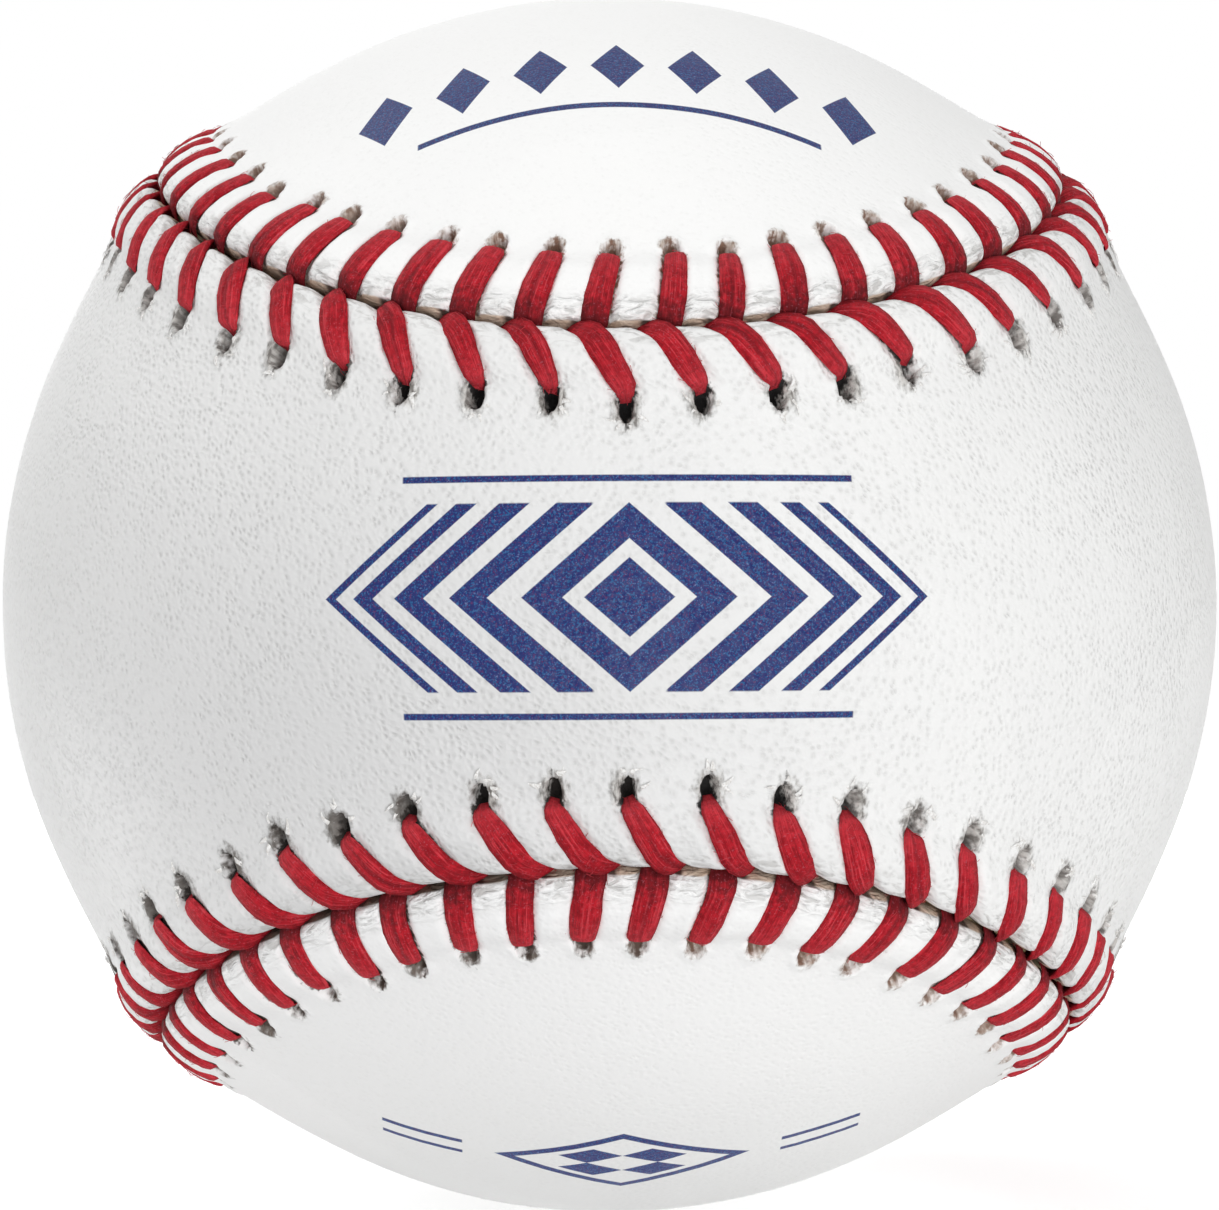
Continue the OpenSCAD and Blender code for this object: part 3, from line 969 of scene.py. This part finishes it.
def strand_tree():
    """Lays each strand over the lip, gives it a flattened section and scatters loose fibres on it."""
    tree, given = new_tree("strands", "Lip Height", "Width", "Thickness", "Fibre Length", "Fibre Thickness",
                           "Fibres a Square Millimetre")
    height = lip_rise(tree, kept_value(tree, "reach"), given["Lip Height"]) + kept_value(tree, "stand_off")
    legs = put(tree, "GeometryNodeMeshToCurve", {"Mesh": raised(tree, given["Shape"], height)})
    legs = put(tree, "GeometryNodeSetCurveNormal", {"Curve": legs, "Normal": outward(tree)}, mode="FREE")
    section = put(tree, "GeometryNodeCurveArc", {
        "Resolution": 6, "Radius": 1.0, "Start Angle": np.radians(-section_sweep / 2),
        "Sweep Angle": np.radians(section_sweep)})
    section = put(tree, "GeometryNodeSetSplineCyclic", {"Geometry": section, "Cyclic": True})
    section = keep_on(tree, section, "lateral", parts(put(tree, "GeometryNodeInputPosition"))[1])
    flattened = vector(tree, X=given["Thickness"] * (mm / 2), Y=given["Width"] * (mm / 2), Z=1.0)
    section = put(tree, "GeometryNodeTransform", {"Geometry": section, "Scale": flattened})
    shape = put(tree, "GeometryNodeCurveToMesh", {
        "Curve": legs, "Profile Curve": section, "Scale": kept_value(tree, "girth"), "Fill Caps": True})
    roots = put_all(tree, "GeometryNodeDistributePointsOnFaces",
                    {"Mesh": shape, "Density": given["Fibres a Square Millimetre"] / (mm * mm), "Seed": 7})
    spin = chance(tree, {"Min": 0.0, "Max": full_turn, "Seed": 8})
    spin = put(tree, "FunctionNodeEulerToRotation", {"Euler": vector(tree, Z=spin)})
    lie = put(tree, "FunctionNodeRotateRotation", {"Rotation": roots["Rotation"], "Rotate By": spin},
              rotation_space="LOCAL")
    growth = chance(tree, {"Min": 0.4, "Max": 1.4, "Seed": 9})
    tip = given["Fibre Length"] * mm
    hair = put(tree, "GeometryNodeCurveQuadraticBezier", {
        "Resolution": 3, "Start": (0.0, 0.0, 0.0),
        "Middle": vector(tree, X=tip * 0.4, Z=tip * 0.25),
        "End": vector(tree, X=tip, Y=tip * 0.2, Z=tip * 0.15)})
    hair_section = put(tree, "GeometryNodeCurvePrimitiveCircle",
                       {"Resolution": 3, "Radius": given["Fibre Thickness"] * (mm / 2)})
    hair = put(tree, "GeometryNodeCurveToMesh",
               {"Curve": hair, "Profile Curve": hair_section, "Fill Caps": True})
    fuzz = put(tree, "GeometryNodeInstanceOnPoints",
               {"Points": roots["Points"], "Instance": hair, "Rotation": lie, "Scale": growth})
    fuzz = keep_on(tree, put(tree, "GeometryNodeRealizeInstances", {"Geometry": fuzz}), "loose", 1.0)
    whole = put(tree, "GeometryNodeJoinGeometry", {"Geometry": fuzz})
    feed(whole.socket.node.inputs, Geometry=shape)
    return close_tree(tree, whole, given["Material"])


def twisted_thread_group():
    """Red fibres twisted into plies, with painted highlight paling each leg towards its far end, and
    sootiness and painted shade darkening it next to the gap.
    """
    tree, place, soot = new_group("twisted_thread", "Soot")
    lateral, along, leg, loose = (stored(tree, name) for name in ("lateral", "along", "leg", "loose"))
    wander = noise(vector(tree, X=along * 2.0, Y=leg * 5.3), 1.0, 1.0) - 0.5
    plied = chances(round(leg))[0].ramp(0.35, 0.8)
    ply = abs(lateral - wander * 0.9).ramp(0.26, 0.0) * plied
    lengthwise = vector(tree, X=(lateral + wander * 0.5) * 8.5, Y=along * 3.2, Z=leg * 3.7)
    fibre = noise(lengthwise, 1.0, 4.0, Roughness=0.65, Distortion=0.3)
    mottle = noise(place, 0.35, 3.0)
    # Painted highlight: each leg is paler towards its far end
    rubbed = (along + (mottle - 0.5) * 0.3).ramp(0.5, 0.9)
    # Sootiness and painted shade: each leg is darker next to the gap
    sooty = (along + (mottle - 0.5) * 0.4).ramp(0.5, 0.2)
    pale_speck, dark_speck, _ = parts(noise(place, 0.12, 2.0, output="Color"))
    red = mixed(mottle.ramp(0.3, 0.7), (156, 12, 28), (194, 26, 42))
    for share, tone in ((fibre.ramp(0.5, 0.68) * 0.7, (226, 74, 84)),
                        (fibre.ramp(0.49, 0.32) * 0.65, (112, 8, 20)),
                        # Painted shade along the groove between the plies
                        (ply * 0.6, (108, 12, 24)),
                        (rubbed * 0.38, (222, 72, 82)),
                        (sooty * soot, (78, 14, 20)),
                        (pale_speck.ramp(0.58, 0.72) * 0.3, (196, 112, 128)),
                        (dark_speck.ramp(0.58, 0.72) * 0.5, (110, 30, 30)),
                        # Painted shade along the leg's two edges, to make it look rounder
                        (abs(lateral).ramp(0.75, 1.0) * 0.1, (110, 18, 28)),
                        (loose * 0.35, (214, 88, 96))):
        red = mixed(share, red, tone)
    rounding = (1.0 - lateral * lateral) * 0.14
    return close_group(tree, Color=red, Fibre=fibre,
                       Height=rounding + fibre * 0.12 - ply * 0.1 + mottle * 0.06)


twisted_thread = twisted_thread_group()


def waxed_thread(side, soot):
    finish, tree, shader = new_finish(f"waxed_thread_{side.name}", roughness=0.75, Specular_IOR_Level=0.2)
    thread = use_group(tree, twisted_thread, Soot=soot)
    feed(shader, Base_Color=thread["Color"], Roughness=thread["Fibre"] * 0.2 + 0.65,
         Normal=bump(thread["Height"]))
    return finish


strands = strand_tree()
# Each side's share of sootiness and painted shade next to the gap
for side, seed, soot, girth_shares in (
        (front, 21, 0.15, (0.45, 0.6, 0.8, 0.93, 1.02, 1.02, 1.0, 0.97, 0.9, 0.79, 0.65, 0.54, 0.42)),
        (back, 22, 0.8, (0.8, 0.9, 0.98, 1.0, 1.0, 1.0, 1.0, 0.98, 0.93, 0.82, 0.66, 0.52, 0.4))):
    thread = thread_legs(side, girth_shares, seed)
    make_with(thread, strands, waxed_thread(side, soot), Lip_Height=side.lip_height, Width=thread_w,
              Thickness=thread_t, Fibre_Length=0.34, Fibre_Thickness=0.024, Fibres_a_Square_Millimetre=2.0)
    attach(thread, "root")
    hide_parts(f"seam_thread_{side.name}")


# Torn flaps
# Where the needle and the thread have dragged through the front panel, slivers of its white
# surface stand up and curl back round the far rim of each hole. They are part of the hide.

flaps_a_hole = 4
shortest_flap, longest_flap = 0.3, 0.75
fan_angle, curl_angle = 95, 70

# Height over the leather and share of the width at each point of a flap, from root to tip
flap_rise = (-0.12, 0.06, 0.12, 0.13, 0.08)
flap_girth = (0.8, 1.0, 0.85, 0.6, 0.2)


def torn_flaps(side, seed):
    """The middle line of every flap, fanned out round the far rim of its hole."""
    draw = np.random.default_rng(seed)
    points = len(flap_rise)
    each = (stitches * flaps_a_hole, 1)
    stitch = np.repeat(np.arange(stitches), flaps_a_hole)[:, None] * np.ones((1, points), int)
    out = np.linspace(0, 1, points) * draw.uniform(shortest_flap, longest_flap, each)
    turn = draw.uniform(-fan_angle, fan_angle, each) + draw.uniform(-curl_angle, curl_angle, each) * out
    turn = np.radians(turn)
    hole_width, hole_length, _ = side.hole_size
    half_width, half_length = hole_width / 2 + 0.05, hole_length / 2 + 0.08
    across = (half_width + out) * np.sin(turn)
    past_hole = half_length + (half_length + out) * np.cos(turn)
    rise = np.array(flap_rise) * draw.uniform(0.5, 1.3, each)
    girth = np.array(flap_girth) * draw.uniform(0.5, 1.2, each)
    return strand_lines("torn_hide_flaps", side, stitch, side.hole_reach[stitch] + past_hole,
                        side.hole_jog[stitch] + across, rise, girth)


def torn_hide():
    finish, tree, shader = new_finish("torn_hide", roughness=0.8)
    fluff = noise(place_in_mm(tree), 0.12, 3.0)
    feed(shader, Base_Color=mixed(fluff.ramp(0.3, 0.7), (214, 211, 207), (248, 248, 247)),
         Normal=bump(fluff * 0.04))
    return finish


flaps = torn_flaps(front, seed=31)
make_with(flaps, strands, torn_hide(), Lip_Height=front.lip_height, Width=0.3, Thickness=0.11,
          Fibre_Length=0.3, Fibre_Thickness=0.02, Fibres_a_Square_Millimetre=0.0)
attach(flaps, "root")


# Floor, lights and camera
# A pale table under the ball, which lets the light of three small lamps under it through, large diffusers
# in front of, over and behind the ball, one small lamp close over it, and a camera ahead of its waist.

white = (1.0, 1.0, 1.0, 1.0)


def background_share(rays):
    """1 for a ray that shows the camera the background, straight or by way of gloss or glass."""
    return largest(*(rays[f"Is {kind} Ray"] for kind in ("Camera", "Glossy", "Transmission")))


def floor_finish():
    """Near white with a shadow to the camera, duller to other rays, and open to the lamps under it."""
    finish = bpy.data.materials.new("table_top")
    finish.use_nodes = True
    tree = finish.node_tree
    tree.nodes.clear()
    rays = put_all(tree, "ShaderNodeLightPath")
    face = put(tree, "ShaderNodeBsdfDiffuse", {"Color": colour(244, 244, 244)})
    dull = put(tree, "ShaderNodeBsdfDiffuse", {"Color": colour(112, 112, 112)})
    lift = put(tree, "ShaderNodeEmission", {"Color": white, "Strength": 0.47})
    plain = put(tree, "ShaderNodeAddShader", {0: face, 1: lift})
    top = put(tree, "ShaderNodeMixShader", {0: background_share(rays), 1: dull, 2: plain})
    clear = put(tree, "ShaderNodeBsdfTransparent")
    surface = put(tree, "ShaderNodeMixShader", {0: rays["Is Shadow Ray"], 1: top, 2: clear})
    feed(tree.nodes.new("ShaderNodeOutputMaterial").inputs, Surface=surface)
    return finish


floor_half = 4.0
floor_mesh = bpy.data.meshes.new("floor")
corners = [(x * floor_half, y * floor_half, -ball_r * mm) for x, y in ((-1, -1), (1, -1), (1, 1), (-1, 1))]
floor_mesh.from_pydata(corners, [], [(0, 1, 2, 3)])
floor_mesh.materials.append(floor_finish())
floor = place_in_scene("floor", floor_mesh)

world = bpy.data.worlds.new("studio")
scene.world = world
world.use_nodes = True
sky = world.node_tree
sky.nodes.clear()
room = put(sky, "ShaderNodeBackground", {"Color": white, "Strength": 0.6})
backdrop = put(sky, "ShaderNodeBackground", {"Color": white, "Strength": 1.0})
shown = background_share(put_all(sky, "ShaderNodeLightPath"))
both = put(sky, "ShaderNodeMixShader", {0: shown, 1: room, 2: backdrop})
feed(sky.nodes.new("ShaderNodeOutputWorld").inputs, Surface=both)


def softbox(name, place, size, power):
    """A square diffuser that faces the ball."""
    lamp = bpy.data.lights.new(name, "AREA")
    lamp.size = size
    lamp.energy = power
    box = place_in_scene(name, lamp)
    box.location = place
    box.rotation_euler = (-Vector(place)).to_track_quat("-Z", "Y").to_euler()
    box.visible_camera = False


softbox("front_softbox", (0.15, -0.56, -0.155), size=0.4, power=2.5)
softbox("overhead_softbox", (-0.41, 0.11, 0.424), size=0.4, power=1.2)
softbox("rear_softbox", (0.0, 0.6, -0.02), size=0.4, power=1.6)
softbox("over_ball_light", (0.009, -0.032, 0.126), size=0.07, power=0.012)
softbox("under_table_front_light", (-0.01, -0.1, -0.06), size=0.07, power=0.024)
softbox("under_table_right_light", (0.092, 0.0, -0.092), size=0.07, power=0.044)
softbox("under_table_left_light", (-0.109, 0.029, -0.065), size=0.07, power=0.045)

photo_width = 1219
lens_in_pixels = 3591
sensor_width = 36.0
radii_away = 6  # from the ball's centre to the camera
ball_turn = Euler((-0.0112, -0.0054, 0.0283)).to_matrix()
camera_data = bpy.data.cameras.new("camera")
camera_data.sensor_width = sensor_width
camera_data.lens = lens_in_pixels / photo_width * sensor_width
camera_data.clip_start = 0.01
camera = place_in_scene("camera", camera_data)
ahead = Matrix(((1, 0, 0), (0, 0, -1), (0, 1, 0)))
stand = ball_turn.inverted() @ Vector((0, -radii_away * ball_r * mm, 0))
camera.matrix_world = Matrix.Translation(stand) @ (ball_turn.inverted() @ ahead).to_4x4()
scene.camera = camera

scene.view_settings.view_transform = "Standard"
